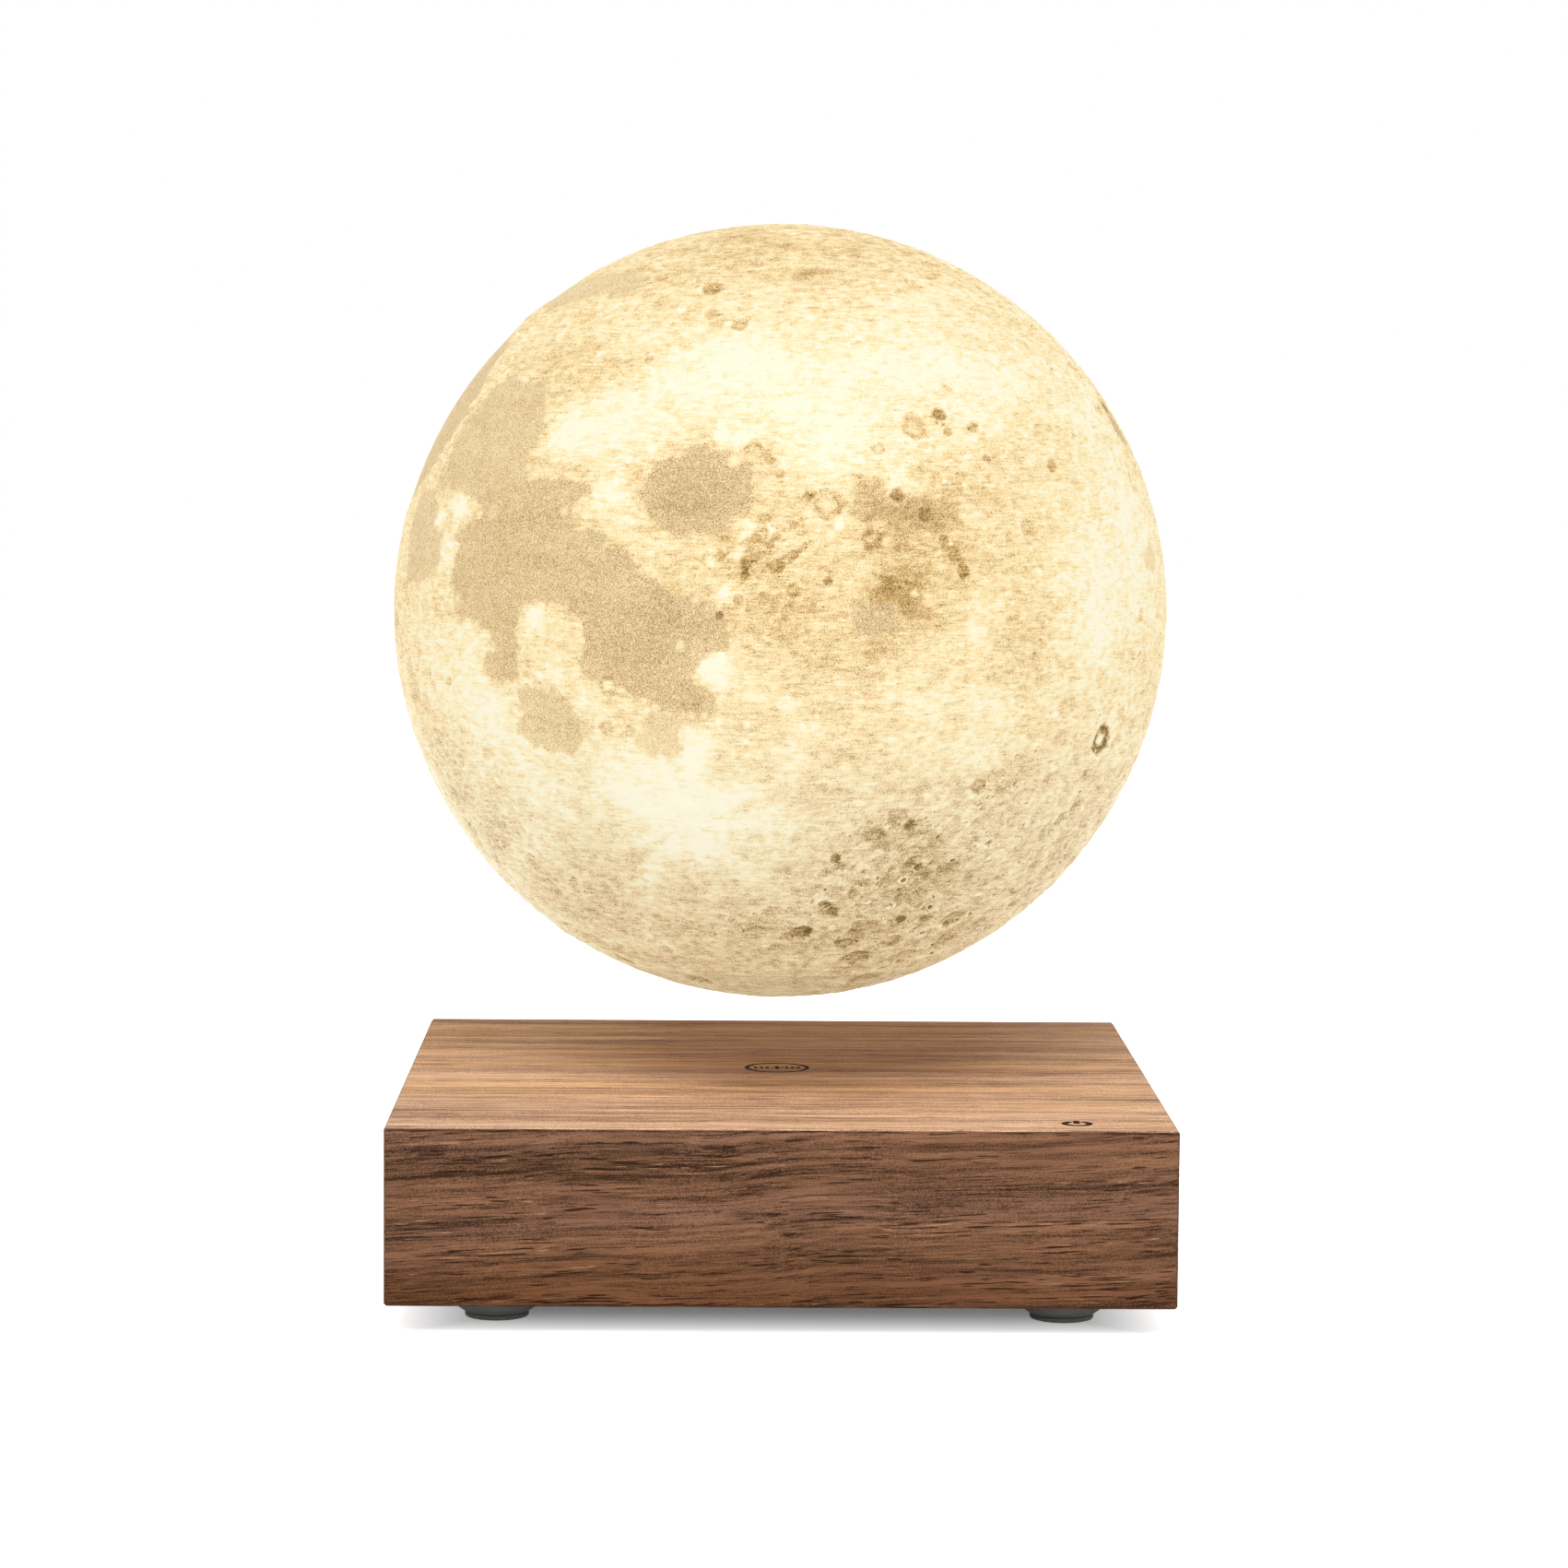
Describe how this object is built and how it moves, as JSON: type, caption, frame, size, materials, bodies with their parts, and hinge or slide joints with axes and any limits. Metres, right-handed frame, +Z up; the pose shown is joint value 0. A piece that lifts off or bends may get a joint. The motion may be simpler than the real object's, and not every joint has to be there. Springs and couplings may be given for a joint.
{
  "type": "levitating lamp",
  "caption": "Levitating lamp: a glowing printed moon globe hovers above a square walnut base on rubber feet.",
  "frame": {"origin": "on the hover axis at table level, which is the bottom centre of the whole lamp", "axes": "+Z up along the hover axis, front with the touch mark toward -Y, +X to the right seen from the front"},
  "size_m": [0.1728, 0.1734, 0.233],
  "materials": {
    "walnut": "oiled, satin, straight grain",
    "glue_block_wood": "sawn, unfinished",
    "foot_rubber": "matt",
    "base_plastic": "fine textured",
    "screw_steel": "zinc plated",
    "bobbin_plastic": "moulded",
    "copper_wire": "enamelled winding",
    "pin_brass": "bright",
    "copper_foil": "bright foil",
    "magnet_nickel": "nickel plated",
    "steel_plate": "plain rolled",
    "circuit_board": "solder resist, semi-gloss",
    "chip_plastic": "moulded epoxy",
    "capacitor_can": "drawn can",
    "jack_plastic": "moulded",
    "lead_insulation": "soft insulation",
    "moon_print": "3-D printed, translucent, glows from inside",
    "housing_plastic": "moulded, satin",
    "led_board_metal": "white solder resist on aluminium",
    "led_resin": "phosphor resin, lit"
  },
  "bodies": {
    "base": {"top_panel": "walnut", "front_wall": "walnut", "right_wall": "walnut", "back_wall": "walnut", "left_wall": "walnut", "base_plate": "base_plastic", "base_plate_screws": "screw_steel", "corner_block_front_left": "glue_block_wood", "corner_block_front_right": "glue_block_wood", "corner_block_back_left": "glue_block_wood", "corner_block_back_right": "glue_block_wood", "foot_front_left": "foot_rubber", "foot_front_right": "foot_rubber", "foot_back_left": "foot_rubber", "foot_back_right": "foot_rubber", "coil_tray": "base_plastic", "tray_screws": "screw_steel", "coil_bobbin_1": "bobbin_plastic", "coil_bobbin_2": "bobbin_plastic", "coil_bobbin_3": "bobbin_plastic", "coil_bobbin_4": "bobbin_plastic", "coil_winding_1": "copper_wire", "coil_winding_2": "copper_wire", "coil_winding_3": "copper_wire", "coil_winding_4": "copper_wire", "coil_pins": "pin_brass", "ring_magnet": "magnet_nickel", "transmitter_coil": "copper_wire", "hall_board": "circuit_board", "hall_sensors": "chip_plastic", "hall_pins": "pin_brass", "control_board": "circuit_board", "board_screws": "screw_steel", "driver_chips": "chip_plastic", "controller_chip": "chip_plastic", "capacitors": "capacitor_can", "dc_jack": "jack_plastic", "jack_pin": "pin_brass", "touch_electrode": "copper_foil", "touch_lead": "lead_insulation"},
    "float_core": {"float_magnet": "magnet_nickel", "backing_disc": "steel_plate"},
    "moon": {"moon_shell": "moon_print", "moon_cap": "moon_print", "magnet_housing": "housing_plastic", "housing_lid": "housing_plastic", "lid_screws": "screw_steel", "receiver_coil": "copper_wire", "receiver_lead": "lead_insulation", "led_board": "led_board_metal", "leds": "led_resin", "led_driver": "chip_plastic"}
  },
  "joints": [
    {"name": "moon_lift", "type": "slide", "parent": "base", "child": "float_core", "axis": [0, 0, 1], "range_m": [-0.0169, 0.08], "stiffness_N_per_m": 162.55, "springref_m": 0.03},
    {"name": "moon_spin", "type": "hinge", "parent": "float_core", "child": "moon", "pos_m": [0, 0, 0.1466], "axis": [0, 0, 1], "continuous": true}
  ]
}
